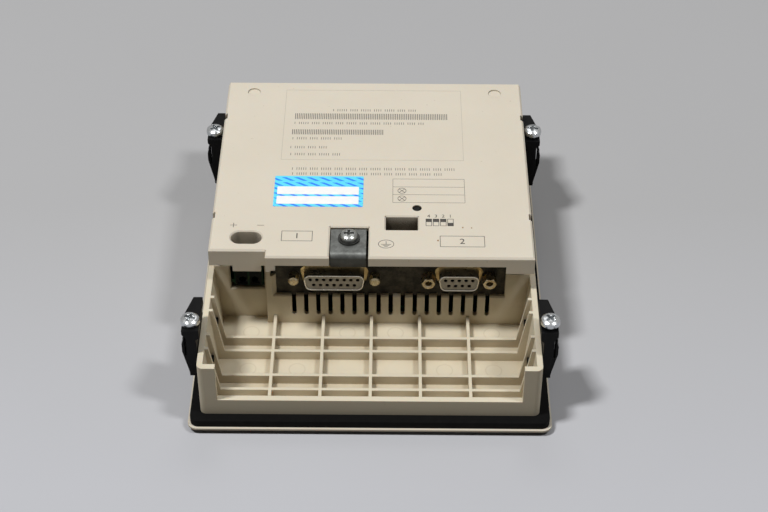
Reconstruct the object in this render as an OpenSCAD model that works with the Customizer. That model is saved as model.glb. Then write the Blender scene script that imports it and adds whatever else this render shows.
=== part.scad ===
// Operator panel with a touch display and keys for a cabinet door.
// Seen from the rear: front frame down, rear cover up.
// Millimetres. z = 0 is the front face of the rim, +Z points to the rear of the panel,
// -Y is the edge with the cable tray, +Y is the display edge.

/* [Front frame] */
// How far the front frame stands out beside the casing
rim_side = 5; // [3.5:0.1:9]
// How far the front frame stands out beyond the casing's ends
rim_end = 5.1; // [3.5:0.1:9]
// Corner radius of the front frame
front_r = 4; // [2:0.5:8]
// Thickness of the front frame, rim to rear face
frame_t = 3.1; // [2.6:0.1:5]
// Sideways run of the bevel on the front edge
bevel_x = 2.0; // [0.5:0.1:3]
// Height of the bevel on the front edge
bevel_z = 2.2; // [0.5:0.1:2.4]
// Width of the rim round the keypad foil
rim_w = 6; // [4:0.5:12]
// Depth of the keypad foil's recess
recess_d = 1.0; // [0.6:0.1:1.4]
// Thickness of the keypad foil
foil_t = 0.3; // [0.2:0.05:0.5]
// Thickness of the panel seal
seal_t = 3.2; // [2:0.1:4]
// How far the seal lies inside the frame's edge
seal_in = 1.0; // [0.6:0.1:2]

/* [Keys and display] */
// Width of a key cap
key_w = 17; // [10:0.5:20]
// Length of a key cap
key_l = 11; // [8:0.5:13]
// Row pitch of the keys
key_py = 20; // [16:0.5:24]
// Near key row, from the wall of the power bay
key_near = 9.4; // [9:0.1:14]
// Gap round a key cap
key_gap = 0.3; // [0.2:0.05:0.6]
// Flange round the inner end of a key
key_rim = 1.5; // [1:0.1:2]
// How far a key stands out of the foil
key_proud = 0.35; // [0.1:0.05:0.6]
// Travel of a key
key_travel = 0.4; // [0.2:0.05:0.6]
// Width of the casing beside the touch glass
win_side = 15; // [13:0.5:30]
// Distance from the far key row to the touch glass
win_near = 22; // [18:0.5:30]
// Distance from the far end of the casing to the touch glass
win_end = 17.9; // [15:0.1:30]
// Thickness of the touch glass
glass_t = 1.5; // [1:0.1:2]
// Width of the display unit's flange round the glass
lcd_rim = 6; // [4:0.5:7]
// Depth of the display unit
lcd_t = 7.4; // [5:0.2:7.6]

/* [Casing] */
// Width of the casing, which passes through the cabinet's cut-out
case_w = 134; // [120:0.5:178]
// Length of the casing, which passes through the cabinet's cut-out
case_l = 193.8; // [170:0.2:248]
// Corner radius of the casing
case_r = 2.5; // [1:0.5:4]
// Thickness of the side walls
side_t = 2.3; // [1.6:0.1:3]
// Thickness of the end walls
end_t = 2.6; // [1.6:0.1:3.2]
// Thickness of the walls round the box
wall_t = 1.8; // [1.4:0.1:2.4]
// Height of the side walls above z = 0
wall_z = 31.2; // [28:0.2:36]
// Height of the step in the box walls
step_z = 32.4; // [32:0.1:36]
// How far the box walls are set back above the step
step_d = 0.8; // [0.4:0.1:1]
// Height of the low end lip above z = 0
lip_z = 14; // [13:0.2:16]
// Thickness of the tray floor
floor_t = 1.2; // [0.9:0.1:2]
// Thickness of the low shelf at the far end
shelf_t = 2; // [1.4:0.1:2.4]
// Slope of the tray's side walls, wall top to floor
draft = 2.4; // [0.5:0.1:3]
// Height of the raised box under the cover
box_z = 40.2; // [38:0.2:44]
// Width of a corner post at the low end
post_w = 7.1; // [5:0.1:10]
// Length of the cable tray, outer end to the wall with the vents
tray_l = 54.5; // [50:0.5:70]
// Width of the power bay
bay_w = 21.3; // [18:0.1:24]
// How far the power bay steps back
bay_step = 4.0; // [2:0.1:6]
// Length of the low shelf at the far end
shelf_l = 26.3; // [20:0.1:34]

/* [Tray ribs and vents] */
// Height of the ribs above the tray floor
rib_h = 4.4; // [3:0.1:6]
// Thickness of the lengthwise ribs
rib_t = 1.3; // [0.8:0.1:2]
// Pitch of the lengthwise ribs
rib_pitch = 20; // [16:0.1:22]
// Thickness of the crosswise ribs
cross_t = 1.4; // [0.8:0.1:2]
// Clear distance across the trough between two crosswise ribs of a pair
trough = 6.5; // [5:0.1:8]
// Near face of the first crosswise rib, from the wall with the vents
cross_d = 14.1; // [12:0.1:16]
// Pitch of the rib pairs
pair_pitch = 21.8; // [20:0.1:23]
// Inner top of a gusset, from the side wall
gusset_in = 1.5; // [0.5:0.1:2.5]
// Sideways run of a gusset
gusset_run = 3.6; // [2:0.1:8]
// Number of vent slots
vent_n = 17; // [5:1:17]
// Pitch of the vent slots
vent_pitch = 5.0; // [4.5:0.05:5.2]
// Width of a vent slot
vent_w = 1.8; // [1:0.1:2.4]
// Centre of the first vent slot, from the connector opening's left edge
vent_in = 7.2; // [4:0.1:9]
// Lowest point of a vent slot
vent_z = 9.4; // [8:0.1:14]

/* [Connector openings] */
// Left edge of the connector opening, from the power bay
open_left = 4.1; // [3.6:0.1:6]
// Right edge of the connector opening, from the casing's side
open_right = 12.1; // [10:0.1:16]
// Sill of the connector opening
sill_z = 20.0; // [18:0.1:21]
// Bevel of the sill
sill_c = 0.6; // [0.3:0.1:1.2]
// Bevel of the opening's left edge
jamb_c = 1.6; // [0.4:0.1:1.7]
// Height of the opening's left edge
jamb_z = 30.5; // [28:0.1:32]
// Left edge of the power opening, from the casing's side
pow_left = 8.8; // [8:0.1:12]
// Right edge of the power opening, from the bay's right-hand end
pow_right = 0.8; // [0.5:0.1:2]
// Sill of the power opening
pow_z = 20.3; // [18:0.1:22]
// Bevel of the power opening's sill and left edge
pow_c = 0.6; // [0.3:0.1:1.4]

/* [Rear cover] */
// How far the cover lies inside the casing's side
cover_in = 1.5; // [1:0.1:2.2]
// Top face of the cover above z = 0
cover_z = 48.5; // [46:0.1:54]
// Thickness of the cover
cover_t = 2.2; // [1.6:0.1:3]
// How far the cover stands over the walls in front
hood = 8.5; // [8:0.1:10]
// Edge break of the cover
cover_c = 0.8; // [0.3:0.1:1.2]
// Lower edge of the cover over the connectors
cover_low = 43.75; // [42:0.05:45]
// Lower edge of the tab over the power terminals
guard_z = 37.1; // [36.6:0.1:38]
// Length of the power slot over the terminal screws
slot_l = 12.5; // [10:0.1:14]
// Width of the power slot
slot_w = 7.6; // [6:0.1:8]
// Width of the switch window
dipwin_w = 13.1; // [12:0.1:15]
// Length of the switch window
dipwin_l = 8.4; // [8:0.1:10]
// Radius of the light hole
led_hole_r = 1.95; // [1.5:0.05:2.5]
// Radius of the two round dimples
dimple_r = 2.8; // [2:0.1:4]
// Bevel round the openings of the cover
hole_c = 0.6; // [0.2:0.1:1]

/* [Connectors] */
// Width of the 15-way connector's shell
d15_w = 24.66; // [24.6:0.02:24.8]
// Width of the 9-way connector's shell
d9_w = 16.33; // [16.2:0.02:16.4]
// Height of a connector's shell
dsub_h = 7.9; // [7.8:0.05:8]
// Height of a connector's body behind the plate
dbody_h = 13; // [12.6:0.1:13.4]
// Centre of the 15-way connector, from the opening's left edge
d15_in = 24.0; // [23.6:0.05:25]
// Centre of the 9-way connector, from the opening's right edge
d9_in = 19.1; // [18:0.05:20]
// Height of the connectors' centres above z = 0
dsub_z = 29.6; // [29.2:0.1:30]
// Distance between the posts of the 15-way connector
d15_span = 33.3; // [33.3:0.1:33.4]
// Distance between the jack screws of the 9-way connector
d9_span = 25.0; // [24.9:0.1:25]
// How far a connector's flange runs past both fixings together
flange_w = 5.9; // [5.4:0.1:6.2]
// Thickness of a connector's flange
flange_t = 1.0; // [0.8:0.1:1.2]
// Thickness of the connector plate
plate_t = 1.1; // [0.8:0.1:1.6]
// How far a shell stands out of its flange
shell_out = 5.8; // [5.6:0.1:6.6]
// Radius of a contact hole
pin_r = 0.78; // [0.6:0.02:0.8]
// Length of a jack screw in front of the wall's back
jack_l = 5.1; // [4.6:0.1:5.6]
// Radius of the thread hole in a jack screw
jack_hole_r = 1.25; // [1.2:0.05:1.4]
// Width across flats of a jack screw
jack_af = 5; // [4.5:0.1:5.5]
// Length of a lock post in front of the wall's back
post_l = 4.0; // [3.6:0.1:4.6]
// Radius of a lock post
post_r = 2.15; // [1.8:0.05:2.6]

/* [Earthing tab] */
// Width of the tab
tab_w = 14.5; // [12:0.1:15]
// Top face of the tab above z = 0
tab_z = 47.5; // [46.5:0.1:48]
// Top face of the plate's flange under the tab
tab_low = 42.0; // [41.6:0.1:42.4]
// How far the tab's front stands out before the wall with the vents
tab_out = 5.8; // [5:0.1:6]
// How far the tab reaches back behind that wall's face
tab_in = 10; // [9:0.1:12]
// Outer bend radius of the tab
tab_r = 2.2; // [1.4:0.1:3]
// Radius of the earth screw's head
ehead_r = 3.5; // [3:0.1:4]
// Radius of the earth screw's shank
eshank_r = 2.0; // [1.5:0.05:2.5]
// Radius of the earth washer
ewash_r = 4.4; // [4:0.1:5]
// Thickness of the earth washer
washer_t = 0.8; // [0.5:0.1:1]
// Height of the earth nut
nut_t = 2.4; // [2:0.1:2.6]

/* [Clamps] */
// Distance of a clamp's screw from the casing's side
clamp_off = 2.6; // [2.55:0.05:3.2]
// Position of the near clamps, from the low end of the casing
clamp_near = 13.5; // [13.4:0.05:13.6]
// Position of the far clamps, from the far end of the box
clamp_far = 32.6; // [30:0.2:36]
// Gap between a clamp and the casing's wall
clamp_gap = 0.3; // [0.2:0.05:0.5]
// Top of a clamp above z = 0
clamp_top = 43; // [42:0.1:44]
// Underside of a clamp's bridge
clamp_mid = 38.9; // [38:0.1:40]
// Length of a clamp from its screw towards the far end
clamp_l = 14.5; // [13:0.1:16]
// reach of its head over the casing's wall
clamp_over = 1.3; // [0.5:0.1:1.5]
// Length of a clamp from its screw towards the near end
clamp_n = 5; // [4.6:0.1:5.4]
// Thickness of a clamp's hook along the casing
hook_t = 1.7; // [1.4:0.1:1.8]
// Height of a clamp's hook
hook_h = 2.4; // [2:0.1:2.6]
// Underside of a clamp's hook above z = 0
hook_z = 18.6; // [18:0.1:18.8]
// Underside of a clamp's foot above z = 0
foot_z = 16.6; // [15.5:0.1:17]
// height of the foot's lip, of its widest part and of the slit behind the lip
lip_top = 35.6; // [34.5:0.1:36.5]
foot_wide_z = 31.6; // [30:0.1:33]
slit_z = 27.6; // [26.5:0.1:29]
// outer side of the foot from the screw
foot_out = 3.8; // [3.2:0.1:4.2]
// wall of the foot around the screw
foot_wall = 0.2; // [0.15:0.05:0.4]
// width of the slit
slit_w = 0.7; // [0.5:0.1:0.9]
// Travel of a clamp's foot towards the cabinet
foot_travel = 8; // [4:0.5:8]
// Radius of a clamp screw's head
chead_r = 3.8; // [3:0.05:3.8]
// Height of a clamp screw's head
chead_h = 2.6; // [2:0.1:3]
// Radius of a clamp screw's shank
cshank_r = 1.75; // [1.5:0.05:2]
// Length of a clamp screw's shank
cshank_l = 20; // [18:0.5:21]
// Radial running clearance of the screw shanks
run_gap = 0.05; // [0.02:0.01:0.1]

/* [Electronics] */
// Thickness of the circuit boards
pcb_t = 1.6; // [1:0.1:2]
// Pitch of the switches
dip_pitch = 2.54; // [2.54:0.01:2.6]
// Travel of a switch slider
dip_travel = 1.8; // [1:0.1:2]
// Pitch of the power terminals
term_pitch = 5.08; // [5:0.01:5.1]
// Height of the terminal block
term_h = 12.5; // [11:0.1:13]
// Depth of the terminal block
term_d = 9.4; // [8.6:0.1:11]
// Radius of a wire entry
wire_r = 1.5; // [1.2:0.05:1.8]
// Radius of a terminal screw's head
thead_r = 1.9; // [1.6:0.05:2]
// Radius of a terminal screw's shank
tshank_r = 1.25; // [1:0.05:1.3]

/* [Hidden] */
$fn = 64;
e = 0.01;
clear = 0.3;
cx = case_w / 2;
cy = case_l / 2;
front_w = case_w + 2 * rim_side;
front_l = case_l + 2 * rim_end;
cover_w = case_w - 2 * cover_in;
kx = cover_w / 2;
box_in = cx - 2 * side_t;
// walls, tray and openings
floor_z = frame_t + clear + floor_t;
rib_z = floor_z + rib_h;
back_y = tray_l - cy;
bay_y = back_y + bay_step;
bay_x = bay_w + side_t - cx;
far_y = cy - shelf_l;
gusset_top = cx - side_t - gusset_in;
gusset_foot = gusset_top - gusset_run;
open_x0 = bay_x + open_left;
open_x1 = cx - open_right;
pow_x0 = pow_left - cx;
pow_x1 = bay_x - pow_right;
vent_x0 = open_x0 + vent_in;
rib_y = [for (k = [0, 1], p = [0, 1]) back_y - cross_d - k * pair_pitch - p * (trough + cross_t)];
// cover
notch_x = bay_x + 0.9;
cover_n = back_y - hood;
cover_n2 = bay_y - hood;
cover_far = far_y - 1.6;
catch_y = [back_y + 17.4, far_y - 27.6];
dimple_x = kx - 11.8;
dimple_y = cover_far - 7.8;
// connectors and their plate
plate_f = back_y + wall_t;
plate_b = plate_f + plate_t;
shell_f = plate_b - shell_out;
d15_x = open_x0 + d15_in;
d9_x = open_x1 - d9_in;
board_z = dsub_z - dbody_h / 2;
tab_x0 = d15_x - 1.3;
tab_y0 = back_y - tab_out;
tab_y1 = back_y + tab_in;
earth_x = tab_x0 + tab_w / 2 + 0.2;
earth_y = back_y + 4.0;
eshank_l = run_gap + washer_t + plate_t + nut_t + 1.0;
// power terminals under their slot
slot_cx = (pow_x0 + pow_x1) / 2 + 0.5;
slot_cy = bay_y - 0.3;
term_f = bay_y - 0.9;
term_y = slot_cy + 2.0;
term_z1 = board_z + term_h;
wire_z = board_z + 2.4;
cell = 0.5;
// switches and light
win_x0 = d15_x + 21;
dip_cx = win_x0 + dipwin_w / 2;
dip_cy = back_y + 13.2;
led_x = dip_cx + 6.25;
led_y = dip_cy + 9.5;
// front
key_y1 = bay_y + key_near;
key_face = recess_d - foil_t - key_proud;
key_back = frame_t + key_gap;
key_rear = key_back + 1.0;
dome_z = key_rear + key_travel + 0.3;
kpcb_z = dome_z + 0.3;
win_w = case_w - 2 * win_side;
win_y0 = key_y1 + key_py + win_near;
win_y1 = cy - win_end;
win_l = win_y1 - win_y0;
win_y = (win_y0 + win_y1) / 2;
key_px = (win_w - key_w) / 3;
kpcb_w = win_w + 2 * lcd_rim + 2 * clear + 5.4;
kpcb_y = [bay_y + wall_t + 1.0, cy - 5];
boss_x = kpcb_w / 2 - 3.5;
boss_y = [kpcb_y[0] + 3, kpcb_y[1] - 2.9];
pilot_r = 1.15;
through_r = 1.6;
link_w = 30;
link_t = 5;
// pads under the main board
pad_x = box_in - 4.4;
pad_y = [back_y + 16.4, far_y - 14.6];
pad_h = 7.7;
// clamps: their hooks stand in the troughs between the ribs
clamp_x = cx + clamp_off;
clamp_pos = [for (y = [clamp_near - cy, far_y - clamp_far], s = [-1, 1]) [s, y]];
clamp_u = clamp_gap - clamp_off;
hook_u = box_in - clear - clamp_x;
hook_y1 = rib_y[2] - clear - 0.25 - hook_t / 2 - (clamp_near - cy);
hook_y = [hook_y1, hook_y1 + pair_pitch];
hook_z1 = hook_z + hook_h;
foot_y = [-2.6, hook_y1 - hook_t / 2 - clear - 0.05];
screw_z = [0, 0.9, 0, 0.9];

cream = [0.87, 0.83, 0.76];
steel = [0.60, 0.61, 0.62];
zinc = [0.75, 0.77, 0.78];
black = [0.06, 0.06, 0.065];
green = [0.10, 0.32, 0.20];

// ---------- helpers ----------

// Outline of circles of radius r on the convex centres c, given anticlockwise. The circles may stand
// proud by a hair, so that slanted sides meet them at a clear point.
module rpoly(c, r, hair = 0) {
  n = len(c);
  polygon([for (i = [0:n - 1]) let (a = c[i], b = c[(i + 1) % n], d = (b - a) / norm(b - a))
    each [a + r * [d[1], -d[0]], b + r * [d[1], -d[0]]]]);
  for (p = c) translate(p) circle(r = r + hair);
}

module rr(w, l, r) {
  x = w / 2 - r;
  y = l / 2 - r;
  rpoly([[-x, -y], [x, -y], [x, y], [-x, y]], r);
}

module slab(w, l, r, z0, z1) { translate([0, 0, z0]) linear_extrude(z1 - z0) rr(w, l, r); }

module bx(x0, x1, y0, y1, z0, z1) { translate([x0, y0, z0]) cube([x1 - x0, y1 - y0, z1 - z0]); }

// Profile in X and Z, carried along Y from y0 to y1.
module along_y(y0, y1) { translate([0, y1, 0]) rotate([90, 0, 0]) linear_extrude(y1 - y0) children(); }

// Profile in Y and Z, carried along X from x0 to x1.
module along_x(x0, x1) { translate([x0, 0, 0]) rotate([90, 0, 90]) linear_extrude(x1 - x0) children(); }

// Cut through a wall from its face y towards +Y, open at the top, with a bevelled sill and left edge.
module opening(x0, x1, y, z0, sill, jamb) {
  y1 = y + wall_t + 1;
  intersection() {
    along_x(x0 - jamb - 1, x1) polygon([[y - 1, z0 - sill - 1], [y + sill, z0], [y1, z0], [y1, box_z + 1],
      [y - 1, box_z + 1]]);
    translate([0, 0, z0 - sill - 1]) linear_extrude(box_z + 1 - z0 + sill + 1)
      polygon([[x0 - jamb - 1, y - 1], [x1, y - 1], [x1, y1], [x0, y1], [x0, y + jamb]]);
  }
}

// Square bar turned by 45 degrees, which cuts a bevel of width c.
module bar_x(x0, x1, y, z, c) {
  s = c * sqrt(2);
  translate([(x0 + x1) / 2, y, z]) rotate([45, 0, 0]) cube([x1 - x0, s, s], center = true);
}
module bar_y(x, y0, y1, z, c) {
  s = c * sqrt(2);
  translate([x, (y0 + y1) / 2, z]) rotate([0, 45, 0]) cube([s, y1 - y0, s], center = true);
}

// Pan head with a cross recess, seat at z = 0.
module pan_head(r, h) {
  difference() {
    rotate_extrude() polygon([[0, 0], [r, 0], [r, 0.42 * h], [0.93 * r, 0.72 * h], [0.72 * r, 0.92 * h],
      [0.42 * r, h], [0, h]]);
    translate([0, 0, 0.78 * h]) {
      cube([1.2 * r, 0.3 * r, h], center = true);
      cube([0.3 * r, 1.2 * r, h], center = true);
    }
    translate([0, 0, 0.35 * h]) cylinder(r1 = 0.16 * r, r2 = 0.34 * r, h = h);
  }
}

// ---------- front ----------

// Slab with a bevel round its lower edge.
module bevel_slab(w, l, r, t, bxx, bz) {
  x = w / 2;
  y = l / 2;
  translate([0, l / 2 - r, 0]) rotate([90, 0, 0]) linear_extrude(l - 2 * r)
    polygon([[-x + bxx, 0], [x - bxx, 0], [x, bz], [x, t], [-x, t], [-x, bz]]);
  translate([-w / 2 + r, 0, 0]) rotate([90, 0, 90]) linear_extrude(w - 2 * r)
    polygon([[-y + bxx, 0], [y - bxx, 0], [y, bz], [y, t], [-y, t], [-y, bz]]);
  for (sx = [-1, 1], sy = [-1, 1]) translate([sx * (x - r), sy * (y - r), 0]) {
    cylinder(r1 = r - bxx, r2 = r, h = bz);
    translate([0, 0, bz]) cylinder(r = r, h = t - bz);
  }
}

module key_at(c, r) {
  translate([(c - 1.5) * key_px, key_y1 + (1 - r) * key_py, 0]) children();
}

module all_keys() { for (c = [0:3], r = [0:1]) key_at(c, r) children(); }

module front_frame() color(cream) difference() {
  union() {
    bevel_slab(front_w, front_l, front_r, frame_t, bevel_x, bevel_z);
    for (sx = [-1, 1], y = boss_y) translate([sx * boss_x, y, frame_t - e])
      cylinder(r = 3, h = kpcb_z - frame_t + e);
  }
  slab(front_w - 2 * rim_w, front_l - 2 * rim_w, 3, -1, recess_d);
  translate([0, win_y, 0]) slab(win_w, win_l, 2, 0, frame_t + 1);
  all_keys() slab(key_w + 2 * key_gap, key_l + 2 * key_gap, 2 + key_gap, 0, frame_t + 1);
  for (sx = [-1, 1], y = boss_y) translate([sx * boss_x, y, frame_t - 1.1])
    cylinder(r = pilot_r, h = kpcb_z);
}

module keypad_foil() color([0.30, 0.31, 0.34]) difference() {
  slab(front_w - 2 * rim_w - 0.4, front_l - 2 * rim_w - 0.4, 2.8, recess_d - foil_t, recess_d);
  translate([0, win_y, 0]) slab(win_w - 3, win_l - 3, 2, 0, frame_t);
  all_keys() slab(key_w + 2 * key_gap, key_l + 2 * key_gap, 2 + key_gap, 0, frame_t);
}

module touch_glass() color([0.55, 0.62, 0.58, 0.5])
  translate([0, win_y, 0]) slab(win_w, win_l, 2, recess_d, recess_d + glass_t);

module key(c, r) color([0.74, 0.75, 0.76]) key_at(c, r) {
  slab(key_w, key_l, 2, key_face, key_back + e);
  slab(key_w + 2 * key_rim, key_l + 2 * key_rim, 2, key_back, key_rear);
}

module key_domes() color([0.78, 0.75, 0.62]) all_keys() translate([0, 0, dome_z])
  cylinder(r = 4, h = kpcb_z - dome_z);

module keypad_board() color(green) difference() {
  translate([0, (kpcb_y[0] + kpcb_y[1]) / 2, 0])
    slab(kpcb_w, kpcb_y[1] - kpcb_y[0], 2, kpcb_z, kpcb_z + pcb_t);
  translate([0, win_y, 0]) slab(win_w + 2 * lcd_rim + 2 * clear, win_l + 2 * lcd_rim + 2 * clear, 1, 0, 20);
  for (sx = [-1, 1], y = boss_y) translate([sx * boss_x, y, 0]) cylinder(r = through_r, h = 20);
}

module lcd_module() color([0.35, 0.36, 0.37]) translate([0, win_y, 0]) {
  slab(win_w + 2 * lcd_rim, win_l + 2 * lcd_rim, 1, frame_t, frame_t + lcd_t);
  slab(win_w - 2, win_l - 4, 1, frame_t + lcd_t - e, frame_t + lcd_t + 1);
}

module board_link() color(black) bx(-link_w / 2, link_w / 2, key_y1 - link_t, key_y1, kpcb_z + pcb_t,
  board_z - pcb_t);

// ---------- seal ----------

module panel_gasket() color(black) difference() {
  slab(front_w - 2 * seal_in, front_l - 2 * seal_in, front_r - seal_in / 2, frame_t, frame_t + seal_t);
  slab(case_w, case_l, case_r, 0, frame_t + seal_t + 1);
}

// ---------- casing ----------

module vent(x) {
  bx(x - vent_w / 2, x + vent_w / 2, back_y - 1, back_y + wall_t + 1, vent_z + vent_w / 2, box_z + 1);
  translate([x, back_y - 1, vent_z + vent_w / 2]) rotate([-90, 0, 0])
    cylinder(r = vent_w / 2, h = wall_t + 2, $fn = 24);
}

// A crosswise rib whose ends climb to the tops of the side walls.
module cross_rib(y) {
  w = cx - side_t + 0.2;
  along_y(y, y + cross_t) polygon([[-w, floor_z - 0.5], [w, floor_z - 0.5], [w, wall_z], [gusset_top, wall_z],
    [gusset_foot, rib_z], [-gusset_foot, rib_z], [-gusset_top, wall_z], [-w, wall_z]]);
}

// A wall of the box from x0 to x1, set back above its step.
module box_wall(x0, x1, y) {
  bx(x0, x1, y, y + wall_t, floor_z - 1, step_z);
  bx(x0, x1, y + step_d, y + wall_t, step_z - e, box_z);
}

module hook_slot(y) {
  for (sx = [0, 1]) mirror([sx, 0, 0])
    bx(cx - side_t - draft - 1, cx + 1, y - hook_t / 2 - clear, y + hook_t / 2 + clear, hook_z - clear,
      hook_z1 + clear);
}

module casing_tray() color(cream) difference() {
  union() {
    // skirt round the whole casing
    translate([0, 0, frame_t]) linear_extrude(lip_z - frame_t) difference() {
      rr(case_w, case_l, case_r);
      square([case_w - 2 * side_t, case_l - 2 * end_t], center = true);
    }
    // side walls with the corner posts
    translate([0, 0, lip_z - e]) linear_extrude(wall_z - lip_z + e) intersection() {
      difference() {
        rr(case_w, case_l, case_r);
        square([case_w - 2 * side_t, case_l - 2 * end_t], center = true);
      }
      for (sx = [0, 1]) mirror([sx, 0]) translate([cx - post_w, -cy]) square([post_w, cy + far_y]);
    }
    // floor of the cable tray, and the slope of its side walls
    bx(-cx + 1, cx - 1, -cy + 1, back_y + wall_t, floor_z - floor_t, floor_z);
    bx(-cx + 1, bay_x + 1, back_y, bay_y + wall_t, floor_z - floor_t, floor_z);
    for (sx = [0, 1]) mirror([sx, 0, 0]) along_y(-cy + end_t - 0.2, (sx == 1 ? bay_y : back_y) + 0.5)
      polygon([[cx - side_t - draft, floor_z - 0.5], [cx - 1, floor_z - 0.5], [cx - 1, wall_z],
        [cx - side_t, wall_z]]);
    // low shelf beyond the box
    bx(-cx + 1, cx - 1, far_y - side_t, cy - 1, lip_z - shelf_t, lip_z);
    // far wall and ledge of the box
    bx(-cx + 1, cx - 1, far_y - side_t, far_y, lip_z - shelf_t, wall_z);
    bx(-cx + 1, cx - 1, far_y - 2 * side_t, far_y, wall_z - 1.4, wall_z);
    for (sx = [0, 1]) mirror([sx, 0, 0]) {
      y = sx == 1 ? bay_y : back_y;
      bx(box_in, cx - 1, y + 1, far_y - 1, wall_z - 1.4, wall_z);
      bx(box_in, cx - side_t, y + step_d, far_y - side_t, wall_z - 1.4, box_z);
      // pads under the main board
      for (y = pad_y) bx(pad_x - 4, cx - side_t + 0.2, y - 4, y + 4, board_z - pcb_t - pad_h, board_z - pcb_t);
    }
    bx(-box_in - e, box_in + e, far_y - 2 * side_t, far_y - side_t, wall_z - 1.4, box_z);
    // wall with the vents, wall of the power bay and the divider
    box_wall(bay_x, cx - side_t, back_y);
    box_wall(-cx + side_t, bay_x + wall_t, bay_y);
    bx(bay_x, bay_x + wall_t, back_y, bay_y + wall_t, floor_z - 1, step_z);
    bx(bay_x, bay_x + wall_t, back_y + step_d, bay_y + wall_t, step_z - e, box_z);
    // ribs of the tray
    for (y = rib_y) cross_rib(y);
    for (i = [-2:2]) bx(i * rib_pitch - rib_t / 2, i * rib_pitch + rib_t / 2, -cy + end_t - 0.2,
      back_y + 0.5, floor_z - 0.5, rib_z);
  }
  // connector opening, which is wider above its left edge
  opening(open_x0, open_x1, back_y, sill_z, sill_c, jamb_c);
  bx(bay_x + wall_t, open_x0 + e, back_y - 1, back_y + wall_t + 1, jamb_z, box_z + 1);
  for (i = [0:vent_n - 1]) vent(vent_x0 + i * vent_pitch);
  // power opening
  opening(pow_x0, pow_x1, bay_y, pow_z, pow_c, pow_c);
  // slots for the clamps' hooks
  for (k = [0, 2], h = hook_y) hook_slot(clamp_pos[k][1] + h);
  for (sx = [-1, 1], y = pad_y) translate([sx * pad_x, y, board_z - pcb_t - pad_h + 2])
    cylinder(r = pilot_r, h = pad_h);
}

// ---------- cover ----------

module cover_outline() {
  rpoly([[-kx + 2.5, 0], [kx - 2.5, 0], [kx - 2.5, cover_far - 2.5], [-kx + 2.5, cover_far - 2.5]], 2.5);
  translate([notch_x, cover_n]) square([kx - notch_x, cover_far / 2 - cover_n]);
  translate([-kx, cover_n2]) square([cover_w, cover_far / 2 - cover_n2]);
}

module cover_cavity() {
  bx(-kx + cover_t, kx - cover_t, cover_n2 + cover_t, cover_far - cover_t, 0, cover_z - cover_t);
  bx(notch_x + cover_t, kx - cover_t, cover_n + cover_t, 0, 0, cover_z - cover_t);
}

module obround(l, w) {
  square([l - w, w], center = true);
  for (s = [-1, 1]) translate([s * (l - w) / 2, 0]) circle(r = w / 2);
}

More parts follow.
